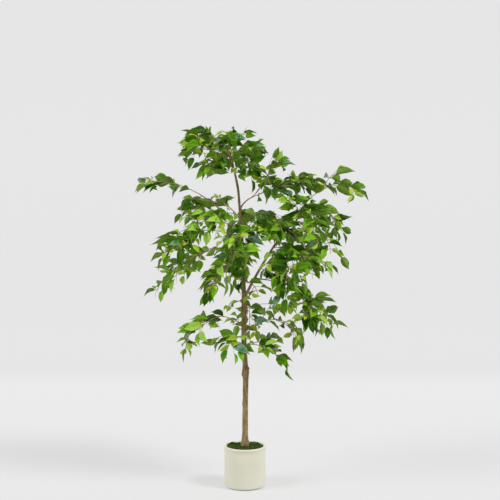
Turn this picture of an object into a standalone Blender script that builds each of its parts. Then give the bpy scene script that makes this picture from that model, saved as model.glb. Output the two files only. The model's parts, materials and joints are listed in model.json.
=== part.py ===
"""A potted weeping fig, 1.3 m tall.

A cream pot filled with moss carries one slender trunk. Its boughs are tapering limbs, and each mass of
leaves is a stem with side twigs and leaves that grow by a seeded rule inside the mass's own space.
The origin is the centre of the pot's flat underside, +X is to the right and +Y away from the front.
"""

import math
import random
from collections import namedtuple

import bmesh
import bpy
import numpy as np
from mathutils.kdtree import KDTree

# Pot and moss, in metres
POT_DIAMETER = 0.150
POT_HEIGHT = 0.146
POT_WALL = 0.009
POT_FLOOR = 0.010
POT_FOOT_ROUND = 0.007
RIM_HEIGHT = 0.010
RIM_STEP = 0.0006
MOSS_LEVEL = 0.144
MOSS_DIP = 0.002
MOSS_FLAT = 0.021
MOSS_MID_DIP = 0.0008
ROUND_STEPS = 32

# Room left between solids that meet
GAP = 0.0003

# Trunk: its course as height, shift to the right and shift back, and its radius by height
TRUNK_COURSE = (
    (0.144, 0.000, 0.000),
    (0.165, 0.000, 0.000),
    (0.300, 0.001, 0.000),
    (0.412, 0.002, 0.000),
    (0.500, -0.003, 0.001),
    (0.670, -0.004, 0.002),
    (0.850, -0.008, 0.004),
    (1.010, -0.020, 0.003),
    (1.070, -0.025, 0.002),
    (1.130, -0.037, 0.001),
    (1.200, -0.059, 0.000),
)
TRUNK_RADIUS = (
    (0.144, 0.0165),
    (0.155, 0.0148),
    (0.170, 0.0120),
    (0.195, 0.0102),
    (0.380, 0.0099),
    (0.412, 0.0128),
    (0.440, 0.0095),
    (0.670, 0.0089),
    (0.740, 0.0062),
    (0.900, 0.0050),
    (1.070, 0.0043),
    (1.200, 0.0034),
)
TRUNK_STEP = 0.045
TRUNK_SIDES = 10

# Limb and twig radii, at the root and at the tip
LIMB_SIDES = 6
LEADER_RADII = (0.0054, 0.0022)
LIMB_RADII = (0.0030, 0.0017)
STEM_RADII = (0.0017, 0.0010)
TWIG_RADII = (0.0013, 0.0009)

# Each bough: what it grows from and where (a height on the trunk, a share of a limb), its azimuth from
# +X and its rise in degrees, the length of its bare limb and how far that bends down, the length of its
# leafy stem, how far that droops and turns, its number of side twigs, and the seed of their growth.
Bough = namedtuple("Bough", "name parent place azimuth rise bare bend leafy droop turn twigs seed")
BOUGHS = (
    Bough("top_crown", "trunk", 1.199, 176, 42, 0, 0, 0.130, 22, 0, 6, 12),
    Bough("top_left", "trunk", 1.170, 190, 46, 0, 0, 0.150, 56, 4, 6, 11),
    Bough("top_left_low", "trunk", 1.150, 208, 26, 0, 0, 0.100, 44, 0, 3, 17),
    Bough("top_right", "trunk", 1.190, 6, 32, 0, 0, 0.110, 50, 0, 6, 14),
    Bough("top_front", "trunk", 1.180, 246, 62, 0, 0, 0.120, 60, -10, 5, 15),
    Bough("top_back", "trunk", 1.155, 88, 56, 0.030, 6, 0.160, 80, 15, 5, 16),
    Bough("top_right_low", "trunk", 1.131, -12, 26, 0, 0, 0.150, 105, 0, 4, 13),
    Bough("right_high", "trunk", 1.000, 4, 64, 0.070, 42, 0.265, 18, 2, 6, 21),
    Bough("right_crest", "right_high", 0.85, -2, 40, 0, 0, 0.155, -40, 0, 4, 22),
    Bough("left_high", "trunk", 0.870, 181, 70, 0.245, 40, 0.205, 31, -2, 2, 23),
    Bough("left_high_side", "left_high", 0.95, 188, 0, 0, 0, 0.100, 90, 6, 2, 24),
    Bough("back_high", "trunk", 0.900, 72, 50, 0.090, 15, 0.270, 75, 20, 4, 25),
    Bough("back_left_high", "trunk", 0.960, 132, 46, 0.080, 15, 0.220, 70, 15, 4, 26),
    Bough("front_left_high", "trunk", 0.975, 226, 20, 0, 0, 0.190, 66, -6, 4, 29),
    Bough("front_high", "trunk", 0.925, 274, 12, 0, 0, 0.200, 70, 6, 6, 27),
    Bough("centre_right", "trunk", 0.905, -36, 30, 0, 0, 0.240, 56, 12, 7, 28),
    Bough("leader", "trunk", 0.675, -5, 64, 0.420, 14, 0.208, 70, 4, 5, 31),
    Bough("right_upper", "leader", 0.96, 10, -4, 0, 0, 0.150, 45, 0, 3, 32),
    Bough("leader_top_front", "leader", 0.86, -66, 20, 0, 0, 0.170, 70, 6, 5, 30),
    Bough("right_outer", "leader", 0.80, -10, -18, 0, 0, 0.220, 30, 0, 5, 33),
    Bough("leader_mid_front", "leader", 0.50, -68, 14, 0, 0, 0.220, 80, 10, 7, 35),
    Bough("right_shoulder", "leader", 0.42, -8, 10, 0, 0, 0.205, 28, 4, 4, 36),
    Bough("right_hanging", "leader", 0.30, -30, -14, 0, 0, 0.290, 46, 10, 4, 37),
    Bough("right_lower", "leader", 0.20, 4, -6, 0.060, 2, 0.285, 50, 0, 4, 38),
    Bough("right_back", "leader", 0.52, 58, 35, 0.060, 10, 0.250, 75, 10, 4, 39),
    Bough("left_upper", "trunk", 0.925, 168, 28, 0.060, 8, 0.200, 70, 8, 6, 41),
    Bough("left_outer", "trunk", 0.900, 211, 14, 0.090, 4, 0.245, 58, -24, 4, 42),
    Bough("left_middle", "trunk", 0.870, 182, -6, 0.080, 4, 0.290, 42, 0, 5, 43),
    Bough("left_front", "trunk", 0.800, 212, 12, 0, 0, 0.170, 80, 8, 3, 44),
    Bough("front_middle", "trunk", 0.845, 243, 8, 0, 0, 0.190, 80, 6, 5, 45),
    Bough("fork_front", "trunk", 0.735, -50, 12, 0, 0, 0.100, 75, 0, 2, 57),
    Bough("back_middle", "trunk", 0.790, 100, 35, 0.080, 12, 0.260, 75, -10, 4, 46),
    Bough("left_low", "trunk", 0.578, 181, 38, 0.040, 12, 0.215, 92, -2, 3, 51),
    Bough("left_front_low", "trunk", 0.535, 234, 22, 0, 0, 0.105, 75, -8, 2, 52),
    Bough("right_low", "trunk", 0.552, 6, 46, 0.040, 12, 0.180, 80, 0, 3, 53),
    Bough("front_right_low", "trunk", 0.510, -26, 10, 0, 0, 0.150, 50, 5, 3, 54),
    Bough("back_low", "trunk", 0.600, 82, 30, 0.070, 12, 0.220, 80, 10, 4, 55),
)

# Limbs, stems and twigs bend in steps of this length, and hang by this angle more at the tip
PATH_STEP = 0.034
TIP_HANG = 25.0
STEEPEST = -84.0

# Side twigs: length at the stem's tip, what is added towards its root, the stem length below which both
# shrink, and the share where leaves begin
TWIG_LENGTH = 0.055
TWIG_ROOT_LENGTH = 0.075
FULL_STEM = 0.15
STEM_LEAVES_FROM = 0.06
TWIG_LEAVES_FROM = 0.28

# Where side twigs stand on a stem and how far off their even places, and their angles in degrees: away
# from the stem, above it, how far they droop and turn, and by how much their length varies
TWIGS_FROM = 0.08
TWIGS_SPAN = 0.74
TWIG_STRAY = 0.25
TWIG_SPREAD = (32, 66)
TWIG_LIFT = (-12, 26)
TWIG_DROOP = (20, 60)
TWIG_TURN = (-20, 10)
TWIG_SCALE = (0.85, 1.25)

# Leaves: length in metres and sag by kind, the room between them, the petiole, and the blade's shape
LEAF_LENGTH = {"large": (0.070, 0.094), "tip": (0.054, 0.070)}
LEAF_SAG = {"large": (-0.45, 0.75), "tip": (0.0, 0.5)}
LEAF_SPACING = 0.021
LEAF_STRAY = (0.7, 1.3)
PETIOLE = 0.007
LEAF_WIDTH = (0.46, 0.56)
LEAF_CURL = (15, 45)
LEAF_SPREAD = (35, 80)
LEAF_ROLL = 26
LEAF_LEVEL = {"large": 0.6, "tip": 0.1}
FACE_UP = 0.5
FACE_OUT = (0.1, 0.9)
FACE_STRAY = 0.75
LEAF_FOLD = 0.12
LEAF_WIDEST = 0.40
LEAF_THICKNESS = 0.016
ROOT_SUNK = 0.0003
BLADE_STEPS = 10
BLADE_WIDTHS = ((0.1, 0.42), (0.3, 0.92), (0.5, 0.98), (0.7, 0.68), (0.9, 0.18))
CROWN_MIDDLE = (-0.02, 0.06)

# A mass's own space: its twigs keep this far from those of other masses and from limbs, a leaf lies
# nearer to its own mass's twigs than to any other's by the margin, and it keeps off the leaves before it
TWIG_ROOM = 0.020
LIMB_ROOM = 0.014
LEAF_LIMB_ROOM = 0.0125
LEAF_ROOM = 0.0075
SPACE_MARGIN = 0.002
SPACE_GRAIN = 0.006

COLOURS = {
    "pot_cream": ((0.68, 0.65, 0.50), 0.35),
    "moss_green": ((0.035, 0.062, 0.012), 0.95),
    "trunk_bark": ((0.25, 0.175, 0.085), 0.80),
    "young_bark": ((0.33, 0.22, 0.13), 0.75),
    "leaf_green": ((0.045, 0.16, 0.018), 0.45),
}
UP = np.array((0.0, 0.0, 1.0))


def direction(azimuth, elevation):
    """The unit vector at an azimuth from +X and an elevation, in degrees."""
    a, e = math.radians(azimuth), math.radians(elevation)
    return np.array((math.cos(a) * math.cos(e), math.sin(a) * math.cos(e), math.sin(e)))


def unit(vector):
    return vector / math.sqrt(vector.dot(vector))


def arc(start, azimuth, rise, droop, turn, length, hang=TIP_HANG):
    """Points of a limb that starts at a rise, droops and turns along its length and hangs at its tip."""
    count = max(3, round(length / PATH_STEP))
    share = (np.arange(count) + 0.5) / count
    lean = np.maximum(rise - droop * share - hang * share**6, STEEPEST)
    steps = [direction(azimuth + turn * u, angle) for u, angle in zip(share, lean)]
    return np.vstack((start, start + np.cumsum(steps, axis=0) * length / count))


def along(path, share):
    """The point and the direction at a share of a path."""
    place = min(max(share, 0.0), 0.9999) * (len(path) - 1)
    index = int(place)
    step = path[index + 1] - path[index]
    return path[index] + step * (place - index), unit(step)


def eased(rows, height, column):
    """A smooth value between rows whose first number is a height, flat at none of them."""
    heights = np.array([row[0] for row in rows])
    values = np.array([row[column] for row in rows])
    slopes = np.gradient(values, heights)
    index = min(max(np.searchsorted(heights, height) - 1, 0), len(rows) - 2)
    room = heights[index + 1] - heights[index]
    t = (height - heights[index]) / room
    start = values[index] * (1 + 2 * t) + slopes[index] * room * t
    end = values[index + 1] * (3 - 2 * t) - slopes[index + 1] * room * (1 - t)
    return start * (1 - t) ** 2 + end * t**2


def trunk_point(height):
    return np.array((eased(TRUNK_COURSE, height, 1), eased(TRUNK_COURSE, height, 2), height))


def trunk_path():
    """Points up the trunk, at even steps and at each height where its radius is named."""
    foot, top = TRUNK_COURSE[0][0], TRUNK_COURSE[-1][0]
    heights = np.linspace(foot, top, round((top - foot) / TRUNK_STEP))
    named = [height for height, radius in TRUNK_RADIUS]
    far = [h for h in heights if min(abs(h - n) for n in named) > TRUNK_STEP / 3]
    heights = sorted(far + named)
    radii = [np.interp(h, *zip(*TRUNK_RADIUS)) for h in heights]
    return np.array([trunk_point(h) for h in heights]), radii


def limbs_and_stems():
    """The bare limb, where there is one, and the leafy stem of each bough, by name."""
    limbs, stems = {}, {}
    for bough in BOUGHS:
        if bough.parent == "trunk":
            start = trunk_point(bough.place)
        else:
            start = along(limbs[bough.parent], bough.place)[0]
        rise = bough.rise
        if bough.bare:
            limb = arc(start, bough.azimuth, rise, bough.bend, 0, bough.bare, hang=0)
            limbs[bough.name] = limb
            rise = rise - bough.bend
            start = limb[-1] + unit(limb[-1] - limb[-2]) * GAP * 1.5
        stems[bough.name] = arc(start, bough.azimuth, rise, bough.droop, bough.turn, bough.leafy)
    return limbs, stems


def sprout(bough, stem, rng):
    """Side twigs of a stem, on alternate sides and shorter towards its tip."""
    twigs = []
    side = rng.choice((-1, 1))
    for index in range(bough.twigs):
        place = index + 0.5 + rng.uniform(-TWIG_STRAY, TWIG_STRAY)
        share = TWIGS_FROM + TWIGS_SPAN * place / bough.twigs
        root, way = along(stem, share)
        side = -side
        azimuth = math.degrees(math.atan2(way[1], way[0])) + side * rng.uniform(*TWIG_SPREAD)
        rise = math.degrees(math.asin(way[2])) + rng.uniform(*TWIG_LIFT)
        length = (TWIG_LENGTH + TWIG_ROOT_LENGTH * (1 - share)) * rng.uniform(*TWIG_SCALE)
        length *= min(1.0, bough.leafy / FULL_STEM)
        droop = rng.uniform(*TWIG_DROOP)
        twigs.append(arc(root, azimuth, rise, droop, side * rng.uniform(*TWIG_TURN), length))
    return twigs


def length_of(path):
    return np.linalg.norm(np.diff(path, axis=0), axis=1).sum()


def dress(path, begin, rng):
    """Leaves of a twig: large ones on alternate sides and one at the tip."""
    length = length_of(path)
    share = begin
    side = rng.choice((-1, 1))
    leaves = []
    while share < 1 - LEAF_SPACING / 2 / length:
        leaves.append(Leaf(*along(path, share), side, "large", rng))
        side = -side
        share += LEAF_SPACING / length * rng.uniform(*LEAF_STRAY)
    leaves.append(Leaf(*along(path, 1.0), 0, "tip", rng))
    return leaves


class Leaf:
    """One leaf: its root on the twig, the way it points and faces, and its arched blade."""

    def __init__(self, root, way, side, kind, rng):
        self.kind = kind
        self.length = rng.uniform(*LEAF_LENGTH[kind])
        self.width = self.length * rng.uniform(*LEAF_WIDTH)
        across = np.array((way[1], -way[0], 0.0))
        if across.dot(across) < 0.04:
            across = direction(rng.uniform(0, 360), 0)
        spread = math.radians(rng.uniform(*LEAF_SPREAD))
        sag = rng.uniform(*LEAF_SAG[kind])
        point = way - UP * way[2] * LEAF_LEVEL[kind]
        if side:
            point = point * math.cos(spread) + unit(across) * side * math.sin(spread)
        self.point = unit(point - UP * sag)
        outward = unit(np.array((root[0] - CROWN_MIDDLE[0], root[1] - CROWN_MIDDLE[1], 0.0)))
        face = UP * FACE_UP + outward * rng.uniform(*FACE_OUT)
        face = face + direction(rng.uniform(0, 360), 0) * FACE_STRAY
        face = unit(face - self.point * self.point.dot(face))
        roll = math.radians(rng.gauss(0, LEAF_ROLL))
        self.face = face * math.cos(roll) + np.cross(self.point, face) * math.sin(roll)
        self.across = np.cross(self.point, self.face)
        self.root = root
        self.spine = self.arched(math.radians(rng.uniform(*LEAF_CURL)))

    def arched(self, curl):
        """Points along the midrib, which bends down from the leaf's face."""
        base = self.root + self.point * PETIOLE
        angles = curl * (np.arange(BLADE_STEPS) / BLADE_STEPS - 0.2)
        steps = [self.point * math.cos(a) - self.face * math.sin(a) for a in angles]
        return np.vstack((base, base + np.cumsum(steps, axis=0) * self.length / BLADE_STEPS))

    def edge(self, share, width, side):
        """A point beside the midrib, raised a little by the blade's fold."""
        out = self.across * side / 2 + self.face * LEAF_FOLD
        return along(self.spine, share)[0] + out * width * self.width

    def reach(self):
        """Points all round the blade, to test what it comes near."""
        edges = [self.edge(share, width, side) for share, width in BLADE_WIDTHS for side in (-1, 1)]
        return edges + list(self.spine[2::2])


def grained(path):
    """Points along a path no further apart than the grain of the spaces."""
    points = [path[-1:]]
    for start, end in zip(path, path[1:]):
        count = int(np.linalg.norm(end - start) / SPACE_GRAIN) + 1
        points.append(start + (end - start) * (np.arange(count) / count)[:, None])
    return np.vstack(points)


def tree_of(points):
    tree = KDTree(len(points))
    for index, point in enumerate(points):
        tree.insert(point, index)
    tree.balance()
    return tree


def nearest(tree, point):
    return tree.find(point)[2]


def grow(limbs, stems):
    """The twigs and leaves of each mass, without those that would leave its space or touch a limb."""
    woody = tree_of(np.vstack([grained(path) for path in (trunk_path()[0], *limbs.values())]))
    streams = {bough.name: random.Random(bough.seed) for bough in BOUGHS}
    sprouted, wood = {}, {bough.name: [grained(stems[bough.name])] for bough in BOUGHS}
    for bough in BOUGHS:
        others = tree_of(np.vstack([p for name in wood if name != bough.name for p in wood[name]]))
        sprouted[bough.name] = []
        for twig in sprout(bough, stems[bough.name], streams[bough.name]):
            points = grained(twig[1:])
            free = min(nearest(others, p) for p in points) > TWIG_ROOM
            free = free and min(nearest(woody, p) for p in points) > LIMB_ROOM
            sprouted[bough.name].append((twig, free))
            if free:
                wood[bough.name].append(grained(twig))
    masses = {}
    for bough in BOUGHS:
        own = tree_of(np.vstack(wood[bough.name]))
        others = tree_of(np.vstack([p for name in wood if name != bough.name for p in wood[name]]))

        placed = []

        def fits(leaf):
            points = leaf.reach()
            inside = all(nearest(own, p) + SPACE_MARGIN < nearest(others, p) for p in points)
            if not inside or min(nearest(woody, p) for p in points) < LEAF_LIMB_ROOM:
                return False
            if placed and np.linalg.norm(np.array(placed)[:, None] - points, axis=2).min() < LEAF_ROOM:
                return False
            placed.extend(points)
            return True

        rng = streams[bough.name]
        stem = stems[bough.name]
        leaves = [leaf for leaf in dress(stem, STEM_LEAVES_FROM, rng) if fits(leaf)]
        twigs = []
        for twig, free in sprouted[bough.name]:
            carried = [leaf for leaf in dress(twig, TWIG_LEAVES_FROM, rng) if free and fits(leaf)]
            if carried:
                twigs.append(twig)
                leaves += carried
        masses[bough.name] = (twigs, leaves)
    return masses


def material(name):
    """The named colour as a Principled material."""
    found = bpy.data.materials.get(name)
    if found:
        return found
    colour, roughness = COLOURS[name]
    made = bpy.data.materials.new(name)
    made.use_nodes = True
    shader = made.node_tree.nodes["Principled BSDF"]
    shader.inputs["Base Color"].default_value = (*colour, 1.0)
    shader.inputs["Roughness"].default_value = roughness
    shader.inputs["Metallic"].default_value = 0.0
    made.diffuse_color = (*colour, 1.0)
    return made


def place(name, data, collection, colour=None):
    obj = bpy.data.objects.new(name, data)
    collection.objects.link(obj)
    if colour:
        data.materials.clear()
        data.materials.append(material(colour))
    return obj


def evaluated_mesh(obj):
    graph = bpy.context.evaluated_depsgraph_get()
    return bpy.data.meshes.new_from_object(obj.evaluated_get(graph))


def rod(name, path, radii, sides, collection, colour=None):
    """A tapering closed rod along a path, round or with the section of another curve."""
    curve = bpy.data.curves.new(name, "CURVE")
    curve.dimensions = "3D"
    curve.use_fill_caps = True
    if isinstance(sides, bpy.types.Object):
        curve.bevel_mode = "OBJECT"
        curve.bevel_object = sides
    else:
        curve.bevel_depth = 1.0
        curve.bevel_resolution = sides // 2 - 2
    spline = curve.splines.new("POLY")
    spline.points.add(len(path) - 1)
    for point, spot, radius in zip(spline.points, path, radii):
        point.co = (*spot, 1.0)
        point.radius = radius
    drawn = place(name, curve, collection)
    mesh = evaluated_mesh(drawn)
    bpy.data.objects.remove(drawn)
    shape = bmesh.new()
    shape.from_mesh(mesh)
    bmesh.ops.remove_doubles(shape, verts=shape.verts, dist=1e-6)
    bmesh.ops.recalc_face_normals(shape, faces=shape.faces)
    shape.to_mesh(mesh)
    shape.free()
    return place(name, mesh, collection, colour)


def taper(path, radii):
    return np.linspace(radii[0], radii[1], len(path))


def twig_section(collection):
    """A triangle of unit radius, the section of every twig."""
    curve = bpy.data.curves.new("twig_section", "CURVE")
    spline = curve.splines.new("POLY")
    spline.points.add(2)
    spline.use_cyclic_u = True
    for index, point in enumerate(spline.points):
        angle = 2 * math.pi * index / 3
        point.co = (math.cos(angle), math.sin(angle), 0.0, 1.0)
    section = place("twig_section", curve, collection)
    section.hide_render = True
    section.display_type = "WIRE"
    return section


def leaf_mesh(leaf):
    """A blade of eight faces: a ring of root, sides and tip between a top and an underside point."""
    middle = along(leaf.spine, LEAF_WIDEST)[0]
    half_thick = leaf.face * leaf.length * LEAF_THICKNESS / 2
    sunk = leaf.root - leaf.point * ROOT_SUNK
    ring = [sunk, leaf.edge(LEAF_WIDEST, 1.0, -1), leaf.spine[-1], leaf.edge(LEAF_WIDEST, 1.0, 1)]
    top, under = len(ring), len(ring) + 1
    faces = []
    for start in range(len(ring)):
        end = (start + 1) % len(ring)
        faces += [(start, end, top), (end, start, under)]
    mesh = bpy.data.meshes.new("leaf")
    mesh.from_pydata([tuple(p) for p in (*ring, middle + half_thick, middle - half_thick)], [], faces)
    shape = bmesh.new()
    shape.from_mesh(mesh)
    bmesh.ops.recalc_face_normals(shape, faces=shape.faces)
    shape.to_mesh(mesh)
    shape.free()
    return mesh


def apply_boolean(obj, operation, solver, other=None, collection=None):
    modifier = obj.modifiers.new(operation, "BOOLEAN")
    modifier.operation = operation
    modifier.solver = solver
    if collection:
        modifier.operand_type = "COLLECTION"
        modifier.collection = collection
    else:
        modifier.object = other
    mesh = evaluated_mesh(obj)
    obj.modifiers.clear()
    obj.data = mesh


def keep_one_body(obj):
    """Drops every loose scrap, and fills a sealed hollow by dropping its wall."""
    shape = bmesh.new()
    shape.from_mesh(obj.data)
    unseen = set(shape.verts)
    bodies = []
    while unseen:
        edge_of_body = [unseen.pop()]
        body = set(edge_of_body)
        while edge_of_body:
            for edge in edge_of_body.pop().link_edges:
                fresh = {vert for vert in edge.verts if vert in unseen}
                unseen -= fresh
                body |= fresh
                edge_of_body += fresh
        bodies.append(body)
    bodies.sort(key=len)
    loose = [vert for body in bodies[:-1] for vert in body]
    bmesh.ops.delete(shape, geom=loose, context="VERTS")
    shape.to_mesh(obj.data)
    shape.free()


def make_mass(name, stem, twigs, leaves, section, collection):
    """One mass: its stem with all its twigs and leaves fused on."""
    foliage = rod(name, stem, taper(stem, STEM_RADII), section, collection, "leaf_green")
    pieces = bpy.data.collections.new("pieces")
    bpy.context.scene.collection.children.link(pieces)
    for twig in twigs:
        rod("twig", twig, taper(twig, TWIG_RADII), section, pieces)
    for leaf in leaves:
        place("leaf", leaf_mesh(leaf), pieces)
    apply_boolean(foliage, "UNION", "MANIFOLD", collection=pieces)
    for piece in list(pieces.objects):
        bpy.data.objects.remove(piece)
    bpy.data.collections.remove(pieces)
    keep_one_body(foliage)
    return foliage


def sleeve(name, path, radii, sides, collection):
    """A rod a little thicker than a limb, which clears what grows from that limb."""
    cutter = rod(name, path, [radius + GAP for radius in radii], sides, collection)
    cutter.hide_render = True
    cutter.display_type = "WIRE"
    return cutter


def make_tree(parts, cutters):
    limbs, stems = limbs_and_stems()
    section = twig_section(cutters)
    trunk, girth = trunk_path()
    rod("trunk", trunk, girth, TRUNK_SIDES, parts, "trunk_bark")
    sleeves = {"trunk": sleeve("trunk_sleeve", trunk, girth, TRUNK_SIDES, cutters)}
    grown = grow(limbs, stems)
    for bough in BOUGHS:
        twigs, leaves = grown[bough.name]
        foliage = make_mass(f"foliage_{bough.name}", stems[bough.name], twigs, leaves, section, parts)
        first = foliage
        if bough.bare:
            radii = taper(limbs[bough.name], LEADER_RADII if bough.name == "leader" else LIMB_RADII)
            first = rod(f"bough_{bough.name}", limbs[bough.name], radii, LIMB_SIDES, parts, "young_bark")
            limb_sleeve = sleeve(f"{bough.name}_sleeve", limbs[bough.name], radii, LIMB_SIDES, cutters)
            sleeves[bough.name] = limb_sleeve
        apply_boolean(first, "DIFFERENCE", "EXACT", other=sleeves[bough.parent])
        keep_one_body(first)


def turned(name, profile, collection, colour):
    """A solid of revolution about Z, from a closed profile of radius and height points."""
    mesh = bpy.data.meshes.new(name)
    edges = [(index, index + 1) for index in range(len(profile) - 1)]
    mesh.from_pydata([(radius, 0.0, height) for radius, height in profile], edges, [])
    obj = place(name, mesh, collection, colour)
    screw = obj.modifiers.new("Turn", "SCREW")
    screw.steps = screw.render_steps = ROUND_STEPS
    screw.use_merge_vertices = True
    screw.merge_threshold = 1e-5
    screw.use_smooth_shade = False
    return obj


def rounding(centre_radius, centre_height, radius, first, last, count=4):
    """Points of a quarter turn, or less, from one angle to another in degrees."""
    angles = np.radians(np.linspace(first, last, count))
    return [(centre_radius + radius * math.cos(a), centre_height + radius * math.sin(a)) for a in angles]


def make_pot(parts):
    """A straight cylinder with a flat underside, a rounded rim and a fine step under the rim."""
    outer = POT_DIAMETER / 2
    inner = outer - POT_WALL
    body = outer - RIM_STEP
    lip = POT_WALL / 2
    profile = [(0.0, POT_FLOOR), (inner, POT_FLOOR), (inner, POT_HEIGHT - lip)]
    profile += rounding(outer - lip, POT_HEIGHT - lip, lip, 180, 0, 7)[1:]
    profile += [(outer, POT_HEIGHT - RIM_HEIGHT), (body, POT_HEIGHT - RIM_HEIGHT - RIM_STEP)]
    profile += rounding(body - POT_FOOT_ROUND, POT_FOOT_ROUND, POT_FOOT_ROUND, 0, -90)
    profile += [(0.0, 0.0)]
    turned("pot", profile, parts, "pot_cream")


def make_moss(parts):
    """The filling: a plug of moss, flat under the trunk and lower towards the wall."""
    edge = POT_DIAMETER / 2 - POT_WALL - GAP
    level = MOSS_LEVEL - GAP
    profile = [(0.0, level), (MOSS_FLAT, level), ((MOSS_FLAT + edge) / 2, level - MOSS_MID_DIP)]
    profile += [(edge, level - MOSS_DIP), (edge, POT_FLOOR + GAP), (0.0, POT_FLOOR + GAP)]
    turned("moss", profile, parts, "moss_green")


def main():
    for obj in list(bpy.data.objects):
        bpy.data.objects.remove(obj)
    parts = bpy.data.collections.new("potted_weeping_fig")
    cutters = bpy.data.collections.new("cutters")
    for collection in (parts, cutters):
        bpy.context.scene.collection.children.link(collection)
    make_pot(parts)
    make_moss(parts)
    make_tree(parts, cutters)


main()
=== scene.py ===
"""Looks of the potted weeping fig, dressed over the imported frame.

Trunk, boughs, twigs and leaves grow by the source's rule and seeds. The leaves take life size, some drop out
where the crown is open, and finer twigs with more leaves fill the space that each mass keeps to. Metres,
+Z up, +X to the right, +Y away from the camera.
"""

import json
import math
import random
from collections import namedtuple

import bmesh
import bpy
import numpy as np
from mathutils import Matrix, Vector, noise
from mathutils.kdtree import KDTree

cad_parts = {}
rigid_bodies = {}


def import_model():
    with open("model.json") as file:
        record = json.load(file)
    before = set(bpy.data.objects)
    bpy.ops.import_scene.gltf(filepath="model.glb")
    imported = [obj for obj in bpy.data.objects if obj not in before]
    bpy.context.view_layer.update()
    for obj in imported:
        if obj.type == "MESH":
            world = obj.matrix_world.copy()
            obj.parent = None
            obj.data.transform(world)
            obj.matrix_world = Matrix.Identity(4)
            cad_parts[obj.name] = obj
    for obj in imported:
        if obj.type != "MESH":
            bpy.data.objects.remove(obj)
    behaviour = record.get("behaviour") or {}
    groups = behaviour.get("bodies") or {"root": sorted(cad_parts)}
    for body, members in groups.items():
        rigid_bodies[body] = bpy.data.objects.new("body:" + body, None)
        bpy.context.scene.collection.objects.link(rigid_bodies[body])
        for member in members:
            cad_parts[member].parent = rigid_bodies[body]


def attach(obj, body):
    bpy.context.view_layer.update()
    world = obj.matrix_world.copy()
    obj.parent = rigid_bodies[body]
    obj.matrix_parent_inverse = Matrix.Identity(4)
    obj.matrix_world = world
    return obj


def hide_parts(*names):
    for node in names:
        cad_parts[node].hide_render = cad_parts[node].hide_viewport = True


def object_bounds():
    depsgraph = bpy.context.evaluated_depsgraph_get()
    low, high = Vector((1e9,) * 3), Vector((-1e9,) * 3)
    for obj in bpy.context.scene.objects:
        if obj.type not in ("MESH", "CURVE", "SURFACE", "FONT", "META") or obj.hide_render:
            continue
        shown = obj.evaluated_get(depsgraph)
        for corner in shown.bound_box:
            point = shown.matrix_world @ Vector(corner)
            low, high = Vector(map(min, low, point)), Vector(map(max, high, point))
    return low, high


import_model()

CAD_LOW, CAD_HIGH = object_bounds()

# Camera: the photograph's, level, with its focal length given in widths of the picture
CAMERA_PLACE = (0.018, -2.94, 0.8525)
FOCAL_LENGTH_PER_WIDTH = 1.624
SENSOR = 36.0

# Pot and moss, as in the source, with a recessed foot under the pot in dark paint, a painted contact shadow,
# and shallow grooves below its rim
POT_DIAMETER = 0.150
POT_HEIGHT = 0.146
POT_WALL = 0.009
POT_FOOT_ROUND = 0.007
RIM_HEIGHT = 0.010
RIM_STEP = 0.0006
GROOVE_WIDTH = 0.0016
GROOVE_DEPTH = 0.00025
GROOVE_SPACING = 0.0075
FOOT_GAP = 0.0024
FOOT_INSET = 0.002
MOSS_LEVEL = 0.144
MOSS_DIP = 0.002
POT_INSIDE_DEPTH = 0.03
POT_ROUND_STEPS = 144

# Trunk: its course as height, shift to the right and shift back, and its radius by height
TRUNK_COURSE = (
    (0.144, 0.000, 0.000),
    (0.165, 0.000, 0.000),
    (0.300, 0.001, 0.000),
    (0.412, 0.002, 0.000),
    (0.500, -0.003, 0.001),
    (0.670, -0.004, 0.002),
    (0.850, -0.008, 0.004),
    (1.010, -0.020, 0.003),
    (1.070, -0.025, 0.002),
    (1.130, -0.037, 0.001),
    (1.200, -0.059, 0.000),
)
TRUNK_RADIUS = (
    (0.144, 0.0165),
    (0.155, 0.0148),
    (0.170, 0.0120),
    (0.195, 0.0102),
    (0.380, 0.0099),
    (0.412, 0.0128),
    (0.440, 0.0095),
    (0.670, 0.0089),
    (0.740, 0.0062),
    (0.900, 0.0050),
    (1.070, 0.0043),
    (1.200, 0.0034),
)
TRUNK_STEP = 0.045
LEADER_RADII = (0.0054, 0.0022)
LIMB_RADII = (0.0030, 0.0017)
STEM_RADII = (0.0017, 0.0010)
TWIG_RADII = (0.0013, 0.0009)
GAP = 0.0003

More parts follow.
